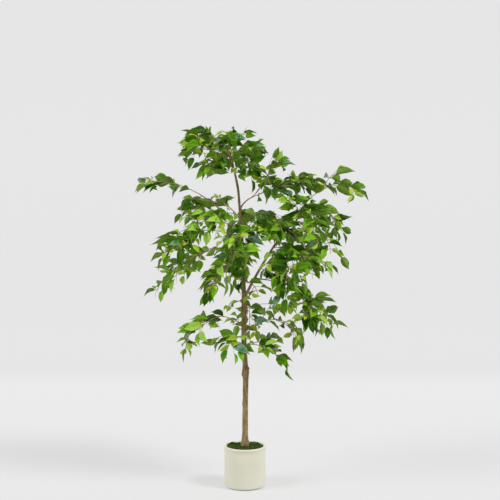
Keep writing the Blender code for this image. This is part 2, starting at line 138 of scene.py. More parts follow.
# The boughs, with the source's columns and seeds
Bough = namedtuple("Bough", "name parent place azimuth rise bare bend leafy droop turn twigs seed")
BOUGHS = (
    Bough("top_crown", "trunk", 1.199, 176, 42, 0, 0, 0.130, 22, 0, 6, 12),
    Bough("top_left", "trunk", 1.170, 190, 46, 0, 0, 0.150, 56, 4, 6, 11),
    Bough("top_left_low", "trunk", 1.150, 208, 26, 0, 0, 0.100, 44, 0, 3, 17),
    Bough("top_right", "trunk", 1.190, 6, 32, 0, 0, 0.110, 50, 0, 6, 14),
    Bough("top_front", "trunk", 1.180, 246, 62, 0, 0, 0.120, 60, -10, 5, 15),
    Bough("top_back", "trunk", 1.155, 88, 56, 0.030, 6, 0.160, 80, 15, 5, 16),
    Bough("top_right_low", "trunk", 1.131, -12, 26, 0, 0, 0.150, 105, 0, 4, 13),
    Bough("right_high", "trunk", 1.000, 4, 64, 0.070, 42, 0.265, 18, 2, 6, 21),
    Bough("right_crest", "right_high", 0.85, -2, 40, 0, 0, 0.155, -40, 0, 4, 22),
    Bough("left_high", "trunk", 0.870, 181, 70, 0.245, 40, 0.205, 31, -2, 2, 23),
    Bough("left_high_side", "left_high", 0.95, 188, 0, 0, 0, 0.100, 90, 6, 2, 24),
    Bough("back_high", "trunk", 0.900, 72, 50, 0.090, 15, 0.270, 75, 20, 4, 25),
    Bough("back_left_high", "trunk", 0.960, 132, 46, 0.080, 15, 0.220, 70, 15, 4, 26),
    Bough("front_left_high", "trunk", 0.975, 226, 20, 0, 0, 0.190, 66, -6, 4, 29),
    Bough("front_high", "trunk", 0.925, 274, 12, 0, 0, 0.200, 70, 6, 6, 27),
    Bough("centre_right", "trunk", 0.905, -36, 30, 0, 0, 0.240, 56, 12, 7, 28),
    Bough("leader", "trunk", 0.675, -5, 64, 0.420, 14, 0.208, 70, 4, 5, 31),
    Bough("right_upper", "leader", 0.96, 10, -4, 0, 0, 0.150, 45, 0, 3, 32),
    Bough("leader_top_front", "leader", 0.86, -66, 20, 0, 0, 0.170, 70, 6, 5, 30),
    Bough("right_outer", "leader", 0.80, -10, -18, 0, 0, 0.220, 30, 0, 5, 33),
    Bough("leader_mid_front", "leader", 0.50, -68, 14, 0, 0, 0.220, 80, 10, 7, 35),
    Bough("right_shoulder", "leader", 0.42, -8, 10, 0, 0, 0.205, 28, 4, 4, 36),
    Bough("right_hanging", "leader", 0.30, -30, -14, 0, 0, 0.290, 46, 10, 4, 37),
    Bough("right_lower", "leader", 0.20, 4, -6, 0.060, 2, 0.285, 50, 0, 4, 38),
    Bough("right_back", "leader", 0.52, 58, 35, 0.060, 10, 0.250, 75, 10, 4, 39),
    Bough("left_upper", "trunk", 0.925, 168, 28, 0.060, 8, 0.200, 70, 8, 6, 41),
    Bough("left_outer", "trunk", 0.900, 211, 14, 0.090, 4, 0.245, 58, -24, 4, 42),
    Bough("left_middle", "trunk", 0.870, 182, -6, 0.080, 4, 0.290, 42, 0, 5, 43),
    Bough("left_front", "trunk", 0.800, 212, 12, 0, 0, 0.170, 80, 8, 3, 44),
    Bough("front_middle", "trunk", 0.845, 243, 8, 0, 0, 0.190, 80, 6, 5, 45),
    Bough("fork_front", "trunk", 0.735, -50, 12, 0, 0, 0.100, 75, 0, 2, 57),
    Bough("back_middle", "trunk", 0.790, 100, 35, 0.080, 12, 0.260, 75, -10, 4, 46),
    Bough("left_low", "trunk", 0.578, 181, 38, 0.040, 12, 0.215, 92, -2, 3, 51),
    Bough("left_front_low", "trunk", 0.535, 234, 22, 0, 0, 0.105, 75, -8, 2, 52),
    Bough("right_low", "trunk", 0.552, 6, 46, 0.040, 12, 0.180, 80, 0, 3, 53),
    Bough("front_right_low", "trunk", 0.510, -26, 10, 0, 0, 0.150, 50, 5, 3, 54),
    Bough("back_low", "trunk", 0.600, 82, 30, 0.070, 12, 0.220, 80, 10, 4, 55),
)

# The source's growth values
PATH_STEP = 0.034
TIP_HANG = 25.0
STEEPEST = -84.0
TWIG_LENGTH = 0.055
TWIG_ROOT_LENGTH = 0.075
FULL_STEM = 0.15
STEM_LEAVES_FROM = 0.06
TWIG_LEAVES_FROM = 0.28

# Where side twigs stand on a stem and how far off their even places, and their angles in degrees: away
# from the stem, above it, how far they droop and turn, and by how much their length varies
TWIGS_FROM = 0.08
TWIGS_SPAN = 0.74
TWIG_STRAY = 0.25
TWIG_SPREAD = (32, 66)
TWIG_LIFT = (-12, 26)
TWIG_DROOP = (20, 60)
TWIG_TURN = (-20, 10)
TWIG_SCALE = (0.85, 1.25)

# Leaves by kind: the source's large and tip leaves, and two kinds of the finer growth, which are the small
# young leaves that stand in pairs and the level ones that lie flatter
LEAF_LENGTH = {
    "large": (0.070, 0.094),
    "tip": (0.054, 0.070),
    "young": (0.042, 0.056),
    "level": (0.070, 0.094),
}
LEAF_SAG = {"large": (-0.45, 0.75), "tip": (0.0, 0.5), "young": (-0.3, 0.4), "level": (-0.35, 0.40)}
LEAF_LEVEL = {"large": 0.6, "tip": 0.1, "young": 0.1, "level": 0.85}
LEAF_SPACING = 0.021
LEAF_STRAY = (0.7, 1.3)
PETIOLE = 0.007
LEAF_WIDTH = (0.46, 0.56)
LEAF_CURL = (15, 45)
LEAF_SPREAD = (35, 80)
LEAF_ROLL = 26
FACE_UP = 0.5
FACE_OUT = (0.1, 0.9)
FACE_STRAY = 0.75
LEAF_FOLD = 0.12
BLADE_STEPS = 10
BLADE_WIDTHS = ((0.1, 0.42), (0.3, 0.92), (0.5, 0.98), (0.7, 0.68), (0.9, 0.18))
CURL_FROM = 0.2
UPRIGHT = 0.04
CROWN_MIDDLE = (-0.02, 0.06)
TWIG_ROOM = 0.020
LIMB_ROOM = 0.014
LEAF_LIMB_ROOM = 0.0125
LEAF_ROOM = 0.0075
SPACE_MARGIN = 0.002
SPACE_GRAIN = 0.006
UP = np.array((0.0, 0.0, 1.0))

# Life size: the share of the source's leaf length and width
LIFE_LENGTH = 0.84
LIFE_WIDTH = 0.74

# Finer growth: what a second, separate stream of draws adds inside each mass's space. A margin below zero
# lets it reach a little into the space of the next mass.
FILL_SEED = 500
FINE_LENGTH = (0.030, 0.060)
FINE_SPACING = 0.024
FINE_STRAY = (0.7, 1.3)
FINE_SPREAD = (30, 80)
FINE_LIFT = (-20, 35)
FINE_DROOP = (0, 40)
FINE_RADII = (0.0008, 0.0005)
FINE_ROOM = 0.006
FINE_LIMB_ROOM = 0.006
FINE_LEAVES_FROM = 0.35
FILL_LEAF_ROOM = 0.0040
FILL_LEAF_LIMB_ROOM = 0.008
FILL_REACH = 0.072
FILL_MARGIN = -0.012

# Young leaves stand in pairs at this distance from the tip of some twigs, which carry no large leaf beyond
# the bare length
YOUNG_FROM_TIP = 0.020
YOUNG_CHANCE = 0.5
BARE_TIP = 0.030

# How full each mass grows. Below 1 it is the chance that a fine twig or a further leaf stays, and the source's
# own leaves stay with a chance halfway from there to 1. Above 1, rounded up, it is the number of rounds of
# further leaves. Masses that aren't named have 1.
FULLNESS = {
    "top_crown": 1.5, "top_left": 2.0, "top_left_low": 2.0, "top_right": 1.5, "top_right_low": 2.0,
    "top_front": 2.0, "left_high": 0.5, "left_high_side": 0.2, "left_upper": 0.2, "left_outer": 1.2,
    "left_middle": 0.6, "left_low": 0.4, "left_front_low": 0.6, "right_high": 1.6, "right_crest": 0.5,
    "right_outer": 0.4, "right_hanging": 1.2, "right_lower": 0.5, "right_low": 0.4, "front_right_low": 0.4,
    "leader": 0.3, "leader_top_front": 1.5, "leader_mid_front": 2.0, "centre_right": 2.0, "front_high": 2.0,
    "front_middle": 2.0, "fork_front": 0.2, "back_high": 0.7, "back_left_high": 0.7, "back_middle": 0.7,
    "back_low": 0.4, "right_back": 0.7,
}

# A blade in the render: steps along it, columns on each half, its thickness, its outline with the drip tip,
# and how it folds, waves and twists
BLADE_ROWS = 10
HALF_COLUMNS = 3
THICKNESS = 0.00035
WIDEST = 0.80
ROUNDNESS = 0.85
DRIP_FROM = 0.87
DRIP_WIDTH = 0.10
FOLD_RISE = 0.50
FOLD_FALL = 0.20
WAVE = 0.032
WAVE_SHARE = (0.4, 1.0)
WAVE_TURNS = (1.5, 2.6)
TWIST = 16.0
TWIST_FROM = 0.3
MIDRIB_RADII = (0.00055, 0.00018)
PETIOLE_RADII = (0.00075, 0.00055)
PETIOLE_ARCH = 0.0006
PATH_CUTS = 4

# Share of the leaves in each tone, from the darkest, and the chance that a leaf keeps its spray's tone
TONES = (
    ("leaf_dark", 0.31),
    ("leaf_deep", 0.22),
    ("leaf_mid", 0.23),
    ("leaf_light", 0.15),
    # The sheen leaves have real gloss, and their pale blue-green patches are painted reflection.
    ("leaf_sheen", 0.09),
)
KEEPS_TONE = 0.40
LOOKS_SEED = 7

# Corners round each kind of rod
TRUNK_SIDES = 32
BOUGH_SIDES = 16
TWIG_SIDES = 6
FINE_SIDES = 4

# Bark relief: the depth and size of its ridges, its rings, and the steps of the bark meshes
BARK_DEPTH = 0.00055
BARK_SIZE = 0.006
BARK_STRETCH = 4.0
BARK_FRACTAL = (0.8, 2.1, 4)
RING_SHARE = 0.6
RINGS_ACROSS = 20
RINGS_ALONG = 190
BARK_STEP = 0.003
COLLAR = 0.012
COLLAR_SWELL = 0.55

# Knots and cut stubs of the trunk: height, azimuth, how far they stand out and how wide they are
TRUNK_KNOTS = (
    (0.424, 2, 0.0042, 0.0055),
    (0.402, 178, 0.0030, 0.0080),
    (0.296, 210, 0.0016, 0.0070),
    (0.222, 330, 0.0012, 0.0060),
    (0.352, 300, 0.0012, 0.0050),
    (0.548, 250, 0.0014, 0.0060),
    (0.640, 200, 0.0012, 0.0050),
)
KNOT_EDGE = 1.6

# Moss: the step of its surface, how high its cushions and tufts stand and how close, and its short blades
MOSS_STEPS = 110
MOSS_DEPTH = 0.025
MOSS_SWELL = 0.0045
MOSS_TUFT = 0.0022
CUSHION_SCALE = 42
CUSHION_FRACTAL = (0.7, 2.0, 3)
TUFT_SCALE = 240
TUFT_FRACTAL = (0.6, 2.1, 3)
MOSS_BLADES = 2600
MOSS_BLADE = (0.003, 0.0065)
MOSS_BLADE_RISE = (25, 85)
MOSS_BLADE_RADII = (0.00045, 0.00012)
MOSS_BLADE_ROOT = 0.001
MOSS_BLADE_BEND = 0.6
MOSS_BLADE_NOD = 0.0006
MOSS_EDGE = 0.002
MOSS_SEED = 19

# Stage: the sweep behind the plant with its tone by height, as a share of its round, then the light from all
# round and two broad soft lamps far off, whose light falls evenly on the floor and on the sweep: azimuth and
# height in degrees, strength and breadth
SWEEP_HALF = 9.0
SWEEP_BACK = 3.5
SWEEP_ROUND = 1.5
SWEEP_TOP = 7.0
SWEEP_TONES = ((0.0, 146), (0.04, 136), (0.35, 138), (0.57, 143), (0.74, 149), (1.0, 158))
WORLD_LIGHT = 0.48
FLOOR_GLOW = 0.46
LAMPS = {"right": (-28.0, 44.0, 1.9, 18.0), "left": (-156.0, 38.0, 1.45, 30.0)}


def direction(azimuth, elevation):
    """The unit vector at an azimuth from +X and an elevation, in degrees."""
    a, e = math.radians(azimuth), math.radians(elevation)
    return np.array((math.cos(a) * math.cos(e), math.sin(a) * math.cos(e), math.sin(e)))


def unit(vector):
    return vector / math.sqrt(vector.dot(vector))


def azimuth_of(way):
    return math.degrees(math.atan2(way[1], way[0]))


def rise_of(way):
    return math.degrees(math.asin(way[2]))


def arc(start, azimuth, rise, droop, turn, length, hang=TIP_HANG):
    """Points of a limb that starts at a rise, droops and turns along its length and hangs at its tip."""
    count = max(3, round(length / PATH_STEP))
    share = (np.arange(count) + 0.5) / count
    lean = np.maximum(rise - droop * share - hang * share**6, STEEPEST)
    steps = [direction(azimuth + turn * u, angle) for u, angle in zip(share, lean)]
    return np.vstack((start, start + np.cumsum(steps, axis=0) * length / count))


def along(path, share):
    """The point and the direction at a share of a path."""
    place = min(max(share, 0.0), 0.9999) * (len(path) - 1)
    index = int(place)
    step = path[index + 1] - path[index]
    return path[index] + step * (place - index), unit(step)


def eased(rows, height, column):
    """A smooth value between rows whose first number is a height, flat at none of them."""
    heights = np.array([row[0] for row in rows])
    values = np.array([row[column] for row in rows])
    slopes = np.gradient(values, heights)
    index = min(max(np.searchsorted(heights, height) - 1, 0), len(rows) - 2)
    room = heights[index + 1] - heights[index]
    t = (height - heights[index]) / room
    start = values[index] * (1 + 2 * t) + slopes[index] * room * t
    end = values[index + 1] * (3 - 2 * t) - slopes[index + 1] * room * (1 - t)
    return start * (1 - t) ** 2 + end * t**2


def trunk_point(height):
    return np.array((eased(TRUNK_COURSE, height, 1), eased(TRUNK_COURSE, height, 2), height))


def trunk_path(step=TRUNK_STEP):
    """Points up the trunk, at even steps and at each height where its radius is named."""
    foot, top = TRUNK_COURSE[0][0], TRUNK_COURSE[-1][0]
    heights = np.linspace(foot, top, round((top - foot) / step))
    named = [height for height, radius in TRUNK_RADIUS]
    far = [h for h in heights if min(abs(h - n) for n in named) > step / 3]
    heights = sorted(far + named)
    radii = [np.interp(h, *zip(*TRUNK_RADIUS)) for h in heights]
    return np.array([trunk_point(h) for h in heights]), radii


def limbs_and_stems():
    """The bare limb, where there is one, and the leafy stem of each bough, by name."""
    limbs, stems = {}, {}
    for bough in BOUGHS:
        if bough.parent == "trunk":
            start = trunk_point(bough.place)
        else:
            start = along(limbs[bough.parent], bough.place)[0]
        rise = bough.rise
        if bough.bare:
            limb = arc(start, bough.azimuth, rise, bough.bend, 0, bough.bare, hang=0)
            limbs[bough.name] = limb
            rise = rise - bough.bend
            start = limb[-1] + unit(limb[-1] - limb[-2]) * GAP * 1.5
        stems[bough.name] = arc(start, bough.azimuth, rise, bough.droop, bough.turn, bough.leafy)
    return limbs, stems


def sprout(bough, stem, rng):
    """Side twigs of a stem, on alternate sides and shorter towards its tip."""
    twigs = []
    side = rng.choice((-1, 1))
    for index in range(bough.twigs):
        place = index + 0.5 + rng.uniform(-TWIG_STRAY, TWIG_STRAY)
        share = TWIGS_FROM + TWIGS_SPAN * place / bough.twigs
        root, way = along(stem, share)
        side = -side
        azimuth = azimuth_of(way) + side * rng.uniform(*TWIG_SPREAD)
        rise = rise_of(way) + rng.uniform(*TWIG_LIFT)
        length = (TWIG_LENGTH + TWIG_ROOT_LENGTH * (1 - share)) * rng.uniform(*TWIG_SCALE)
        length *= min(1.0, bough.leafy / FULL_STEM)
        droop = rng.uniform(*TWIG_DROOP)
        twigs.append(arc(root, azimuth, rise, droop, side * rng.uniform(*TWIG_TURN), length))
    return twigs


def length_of(path):
    return np.linalg.norm(np.diff(path, axis=0), axis=1).sum()


def dress(path, begin, rng, kind="large"):
    """Leaves of a twig: large ones on alternate sides and one at the tip."""
    length = length_of(path)
    share = begin
    side = rng.choice((-1, 1))
    leaves = []
    while share < 1 - LEAF_SPACING / 2 / length:
        leaves.append(Leaf(path, share, side, kind, rng))
        side = -side
        share += LEAF_SPACING / length * rng.uniform(*LEAF_STRAY)
    leaves.append(Leaf(path, 1.0, 0, "tip", rng))
    return leaves


class Leaf:
    """One leaf: its root on the twig, the way it points and faces, and its arched blade."""

    def __init__(self, path, share, side, kind, rng):
        root, way = along(path, share)
        self.path, self.share, self.kind = path, share, kind
        self.length = rng.uniform(*LEAF_LENGTH[kind])
        self.width = self.length * rng.uniform(*LEAF_WIDTH)
        across = np.array((way[1], -way[0], 0.0))
        if across.dot(across) < UPRIGHT:
            across = direction(rng.uniform(0, 360), 0)
        spread = math.radians(rng.uniform(*LEAF_SPREAD))
        sag = rng.uniform(*LEAF_SAG[kind])
        point = way - UP * way[2] * LEAF_LEVEL[kind]
        if side:
            point = point * math.cos(spread) + unit(across) * side * math.sin(spread)
        self.point = unit(point - UP * sag)
        outward = unit(np.array((root[0] - CROWN_MIDDLE[0], root[1] - CROWN_MIDDLE[1], 0.0)))
        face = UP * FACE_UP + outward * rng.uniform(*FACE_OUT)
        face = face + direction(rng.uniform(0, 360), 0) * FACE_STRAY
        face = unit(face - self.point * self.point.dot(face))
        roll = math.radians(rng.gauss(0, LEAF_ROLL))
        self.face = face * math.cos(roll) + np.cross(self.point, face) * math.sin(roll)
        self.across = np.cross(self.point, self.face)
        self.root = root
        self.curl = math.radians(rng.uniform(*LEAF_CURL))
        self.spine = self.arched()

    def arched(self):
        """Points along the midrib, which bends down from the leaf's face."""
        base = self.root + self.point * PETIOLE
        angles = self.curl * (np.arange(BLADE_STEPS) / BLADE_STEPS - CURL_FROM)
        steps = [self.point * math.cos(a) - self.face * math.sin(a) for a in angles]
        return np.vstack((base, base + np.cumsum(steps, axis=0) * self.length / BLADE_STEPS))

    def edge(self, share, width, side):
        """A point beside the midrib, raised a little by the blade's fold."""
        out = self.across * side / 2 + self.face * LEAF_FOLD
        return along(self.spine, share)[0] + out * width * self.width

    def reach(self):
        """Points all round the blade, which show what it comes near."""
        edges = [self.edge(share, width, side) for share, width in BLADE_WIDTHS for side in (-1, 1)]
        return edges + list(self.spine[2::2])

    def to_life_size(self):
        """The same leaf with its blade shrunk to life size."""
        self.length *= LIFE_LENGTH
        self.width *= LIFE_WIDTH
        self.spine = self.arched()
        return self


def grained(path):
    """Points along a path no further apart than the grain of the spaces."""
    points = [path[-1:]]
    for start, end in zip(path, path[1:]):
        count = int(np.linalg.norm(end - start) / SPACE_GRAIN) + 1
        points.append(start + (end - start) * (np.arange(count) / count)[:, None])
    return np.vstack(points)


def tree_of(points):
    tree = KDTree(len(points))
    for index, point in enumerate(points):
        tree.insert(point, index)
    tree.balance()
    return tree


def nearest(tree, point):
    return tree.find(point)[2]


class Space:
    """The room that belongs to one mass, and the leaves that are already in it."""

    def __init__(self, wood, name, woody):
        self.own = tree_of(np.vstack(wood[name]))
        self.others = tree_of(np.vstack([p for other in wood if other != name for p in wood[other]]))
        self.woody = woody
        self.placed = []

    def holds(self, points, limb_room, margin=SPACE_MARGIN):
        inside = all(nearest(self.own, p) + margin < nearest(self.others, p) for p in points)
        return inside and min(nearest(self.woody, p) for p in points) >= limb_room

    def takes(self, leaf, room, limb_room, margin=SPACE_MARGIN, reach=math.inf):
        """Whether the leaf fits beside what is there, which it then joins.

        A leaf that may pass the edge of its space stays inside the box of the solids.
        """
        points = leaf.reach()
        if not self.holds(points, limb_room, margin) or max(nearest(self.own, p) for p in points) > reach:
            return False
        if margin < 0 and not all(np.all(p > CAD_LOW) and np.all(p < CAD_HIGH) for p in points):
            return False
        if self.placed and np.linalg.norm(np.array(self.placed)[:, None] - points, axis=2).min() < room:
            return False
        self.placed.extend(points)
        return True


def grow(limbs, stems):
    """The twigs and leaves of each mass, and its space, as in the source."""
    woody = tree_of(np.vstack([grained(path) for path in (trunk_path()[0], *limbs.values())]))
    streams = {bough.name: random.Random(bough.seed) for bough in BOUGHS}
    sprouted, wood = {}, {bough.name: [grained(stems[bough.name])] for bough in BOUGHS}
    for bough in BOUGHS:
        others = tree_of(np.vstack([p for name in wood if name != bough.name for p in wood[name]]))
        sprouted[bough.name] = []
        for twig in sprout(bough, stems[bough.name], streams[bough.name]):
            points = grained(twig[1:])
            free = min(nearest(others, p) for p in points) > TWIG_ROOM
            free = free and min(nearest(woody, p) for p in points) > LIMB_ROOM
            sprouted[bough.name].append((twig, free))
            if free:
                wood[bough.name].append(grained(twig))
    masses = {}
    for bough in BOUGHS:
        space = Space(wood, bough.name, woody)
        rng = streams[bough.name]
        sprays = [(stems[bough.name], [])]
        for leaf in dress(stems[bough.name], STEM_LEAVES_FROM, rng):
            if space.takes(leaf, LEAF_ROOM, LEAF_LIMB_ROOM):
                sprays[0][1].append(leaf)
        for twig, free in sprouted[bough.name]:
            dressed = dress(twig, TWIG_LEAVES_FROM, rng)
            carried = [leaf for leaf in dressed if free and space.takes(leaf, LEAF_ROOM, LEAF_LIMB_ROOM)]
            if carried:
                sprays.append((twig, carried))
        masses[bough.name] = (space, sprays)
    return masses


def fine_twigs(path, space, rng):
    """Short twigs along a path, on alternate sides, that stay in the mass's space."""
    length = length_of(path)
    share = FINE_SPACING / 2 / length
    side = rng.choice((-1, 1))
    twigs = []
    while share < 1.0:
        root, way = along(path, share)
        side = -side
        azimuth = azimuth_of(way) + side * rng.uniform(*FINE_SPREAD)
        rise = rise_of(way) + rng.uniform(*FINE_LIFT)
        twig = arc(root, azimuth, rise, rng.uniform(*FINE_DROOP), 0, rng.uniform(*FINE_LENGTH))
        outer = grained(twig[2:])
        clear = min(nearest(space.own, p) for p in outer) > FINE_ROOM
        if clear and space.holds(outer, FINE_LIMB_ROOM, FILL_MARGIN):
            twigs.append(twig)
        share += FINE_SPACING / length * rng.uniform(*FINE_STRAY)
    return twigs


def young_pair(path, rng):
    """Two small leaves that face each other near the tip of a twig."""
    share = 1 - YOUNG_FROM_TIP / length_of(path)
    return [Leaf(path, share, side, "young", rng) for side in (-1, 1)]


def off_the_tip(path, leaves):
    """The leaves of a twig without the large ones close to its tip."""
    length = length_of(path)
    return [leaf for leaf in leaves if leaf.kind == "tip" or (1 - leaf.share) * length > BARE_TIP]


def fill(bough, space, sprays):
    """Thins the mass's leaves, then adds finer twigs, young pairs and more leaves in its free space.

    The sprays gain leaves where they stand. The finer twigs come back with the leaves that they carry.
    """
    rng = random.Random(bough.seed + FILL_SEED)
    kept = FULLNESS.get(bough.name, 1.0)
    young = [rng.random() < YOUNG_CHANCE for _ in sprays]
    space.placed = []
    for (path, leaves), paired in zip(sprays, young):
        if paired:
            leaves[:] = off_the_tip(path, leaves)
        leaves[:] = [leaf for leaf in leaves if rng.random() < (1 + kept) / 2]
        for leaf in leaves:
            space.placed.extend(leaf.to_life_size().reach())

    def fitting(leaves):
        room = (FILL_LEAF_ROOM, FILL_LEAF_LIMB_ROOM, FILL_MARGIN, FILL_REACH)
        return [leaf for leaf in leaves if space.takes(leaf.to_life_size(), *room)]

    fine = []
    for (path, leaves), paired in zip(sprays, young):
        if paired:
            leaves += fitting(young_pair(path, rng))
        for twig in fine_twigs(path, space, rng):
            if rng.random() > kept:
                continue
            dressed = dress(twig, FINE_LEAVES_FROM, rng, "level")
            if rng.random() < YOUNG_CHANCE:
                dressed = young_pair(twig, rng) + off_the_tip(twig, dressed)
            carried = fitting(dressed)
            if carried:
                fine.append((twig, carried))
    carriers = list(zip(sprays, young))
    for turn in range(math.ceil(kept)):
        for (path, leaves), paired in carriers:
            more = [leaf for leaf in dress(path, STEM_LEAVES_FROM, rng, "level") if rng.random() < kept]
            leaves += fitting(off_the_tip(path, more) if paired else more)
        if turn == 0:
            carriers += [(spray, False) for spray in fine]
    return fine


def srgb(red, green, blue):
    """A colour given as the 0 to 255 values of a picture, for a shader."""
    values = np.array((red, green, blue)) / 255
    linear = np.where(values <= 0.04045, values / 12.92, ((values + 0.055) / 1.055) ** 2.4)
    return (*linear, 1.0)


class Paint:
    """A Principled material that is built up node by node from object coordinates, in metres."""

    def __init__(self, name, roughness, specular=0.5):
        self.material = bpy.data.materials.new(name)
        self.material.use_nodes = True
        self.tree = self.material.node_tree
        self.shader = self.tree.nodes["Principled BSDF"]
        self.shader.inputs["Roughness"].default_value = roughness
        self.shader.inputs["Specular IOR Level"].default_value = specular
        self.place = self.tree.nodes.new("ShaderNodeTexCoord").outputs["Object"]

    def link(self, output, target):
        self.tree.links.new(output, target)

    def stretched(self, x, y, z):
        """The coordinates scaled along each axis, for a grain."""
        mapping = self.tree.nodes.new("ShaderNodeMapping")
        mapping.inputs["Scale"].default_value = (x, y, z)
        self.link(self.place, mapping.inputs["Vector"])
        return mapping.outputs["Vector"]

    def noise(self, scale, detail=3.0, place=None):
        node = self.tree.nodes.new("ShaderNodeTexNoise")
        node.inputs["Scale"].default_value = scale
        node.inputs["Detail"].default_value = detail
        self.link(place or self.place, node.inputs["Vector"])
        return node.outputs["Fac"]

    def mixed(self, first, second, share):
        """A blend of two plain values."""
        node = self.tree.nodes.new("ShaderNodeMix")
        node.inputs["Factor"].default_value = share
        self.link(first, node.inputs["A"])
        self.link(second, node.inputs["B"])
        return node.outputs["Result"]

    def ramp(self, factor, stops):
        """Colours at places from 0 to 1."""
        node = self.tree.nodes.new("ShaderNodeValToRGB")
        elements = node.color_ramp.elements
        while len(elements) < len(stops):
            elements.new(0.5)
        for element, (place, colour) in zip(elements, stops):
            element.position = place
            element.color = colour
        self.link(factor, node.inputs["Fac"])
        return node.outputs["Color"]

    def colour(self, output):
        self.link(output, self.shader.inputs["Base Color"])

    def rough(self, factor, low, high):
        node = self.tree.nodes.new("ShaderNodeMapRange")
        node.inputs["To Min"].default_value = low
        node.inputs["To Max"].default_value = high
        self.link(factor, node.inputs["Value"])
        self.link(node.outputs["Result"], self.shader.inputs["Roughness"])

    def bump(self, height, strength, distance):
        node = self.tree.nodes.new("ShaderNodeBump")
        node.inputs["Strength"].default_value = strength
        node.inputs["Distance"].default_value = distance
        self.link(height, node.inputs["Height"])
        self.link(node.outputs["Normal"], self.shader.inputs["Normal"])


def leaf_paint(name, dark, light, roughness, specular=0.12):
    """A waxy blade that varies a little in tone and gloss over its own length. With a pale bluish light
    colour, as for the sheen leaves, the light patches are painted reflection.
    """
    paint = Paint(name, roughness, specular)
    patches = paint.noise(28.0)
    paint.colour(paint.ramp(patches, ((0.35, dark), (0.65, light))))
    paint.rough(patches, roughness - 0.06, roughness + 0.08)
    paint.bump(paint.noise(420.0), 0.18, 0.0006)
    return paint.material


def wood_paint(name, tones, grain, bump):
    """Bark in three tones, with a grain along the limb and rings across it."""
    paint = Paint(name, 0.8, specular=0.3)
    along_limb = paint.noise(160.0, 6.0, paint.stretched(1.0, 1.0, grain))
    across_limb = paint.noise(70.0, 4.0, paint.stretched(0.35, 0.35, 7.0))
    both = paint.mixed(along_limb, across_limb, 0.35)
    paint.colour(paint.ramp(both, list(zip((0.30, 0.50, 0.72), tones))))
    paint.bump(both, bump, 0.0015)
    return paint.material


def pot_paint():
    paint = Paint("pot_cream", 0.42)
    clouds = paint.noise(9.0, 4.0)
    paint.colour(paint.ramp(clouds, ((0.3, srgb(211, 208, 188)), (0.7, srgb(216, 214, 196)))))
    paint.rough(clouds, 0.36, 0.48)
    paint.bump(paint.noise(700.0, 2.0), 0.10, 0.0003)
    return paint.material


def moss_paint():
    paint = Paint("moss_green", 0.95, specular=0.15)
    tufts = paint.noise(210.0, 5.0)
    stops = ((0.30, srgb(34, 50, 14)), (0.52, srgb(60, 84, 28)), (0.75, srgb(100, 124, 50)))
    paint.colour(paint.ramp(tufts, stops))
    paint.bump(tufts, 0.6, 0.002)
    return paint.material


def plain_paint(name, colour, roughness):
    paint = Paint(name, roughness, specular=0.2)
    paint.shader.inputs["Base Color"].default_value = colour
    return paint.material


def floor_paint():
    """A pale surface with some light of its own, toned down where the sweep turns up towards the lamps."""
    paint = Paint("floor", 0.95, specular=0.0)
    height = paint.tree.nodes.new("ShaderNodeSeparateXYZ")
    paint.link(paint.stretched(1.0, 1.0, 1 / SWEEP_ROUND), height.inputs["Vector"])
    stops = [(place, srgb(tone, tone, tone)) for place, tone in SWEEP_TONES]
    paint.colour(paint.ramp(height.outputs["Z"], stops))
    paint.shader.inputs["Emission Color"].default_value = (1.0, 1.0, 1.0, 1.0)
    paint.shader.inputs["Emission Strength"].default_value = FLOOR_GLOW
    return paint.material


def make_paints():
    return {
        "leaf_dark": leaf_paint("leaf_dark", srgb(44, 86, 0), srgb(64, 112, 0), 0.42),
        "leaf_deep": leaf_paint("leaf_deep", srgb(74, 128, 0), srgb(94, 150, 4), 0.42),
        "leaf_mid": leaf_paint("leaf_mid", srgb(114, 172, 20), srgb(134, 188, 40), 0.44),
        "leaf_light": leaf_paint("leaf_light", srgb(150, 198, 64), srgb(168, 208, 84), 0.44),
        "leaf_lime": leaf_paint("leaf_lime", srgb(158, 192, 34), srgb(180, 208, 62), 0.44),
        # Sheen leaves: real gloss, with pale blue-green patches that are painted reflection.
        "leaf_sheen": leaf_paint("leaf_sheen", srgb(56, 108, 40), srgb(118, 164, 128), 0.28, 0.9),
        "leaf_underside": leaf_paint("leaf_underside", srgb(108, 146, 44), srgb(124, 160, 60), 0.60),
        "lime_underside": leaf_paint("lime_underside", srgb(148, 180, 56), srgb(166, 194, 76), 0.60),
        "leaf_rib": plain_paint("leaf_rib", srgb(142, 168, 70), 0.5),
        "trunk_bark": wood_paint(
            "trunk_bark", (srgb(84, 66, 40), srgb(138, 115, 76), srgb(180, 156, 112)), 0.22, 0.55
        ),
        "young_bark": wood_paint(
            "young_bark", (srgb(120, 96, 72), srgb(158, 132, 106), srgb(190, 166, 142)), 0.4, 0.35
        ),
        "twig_bark": wood_paint(
            "twig_bark", (srgb(150, 118, 94), srgb(188, 156, 130), srgb(216, 188, 164)), 0.4, 0.25
        ),
        "pot_cream": pot_paint(),
        # Dark paint for the pot's recessed foot: a painted contact shadow.
        "pot_foot_painted_shadow": plain_paint("pot_foot_painted_shadow", srgb(70, 66, 58), 0.9),
        "moss_green": moss_paint(),
        "floor": floor_paint(),
    }


def add_piece(name, mesh, paints):
    """A finished piece of the plant, which rides on the one body."""
    piece = bpy.data.objects.new(name, mesh)
    bpy.context.scene.collection.objects.link(piece)
    for paint in paints:
        mesh.materials.append(paint)
    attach(piece, "root")
    return piece


def smooth(path, cuts=PATH_CUTS):
    """A path through the same points with round bends, cut finer."""
    ends = np.vstack((2 * path[0] - path[1], path, 2 * path[-1] - path[-2]))
    a, b, c, d = ends[:-3, None], ends[1:-2, None], ends[2:-1, None], ends[3:, None]
    t = (np.arange(cuts) / cuts)[None, :, None]
    bend = (a - 2.5 * b + 2 * c - d / 2) * t**2
    ease = ((d - a) / 2 + 1.5 * (b - c)) * t**3
    rounded = b + (c - a) * t / 2 + bend + ease
    return np.vstack((rounded.reshape(-1, 3), path[-1:]))


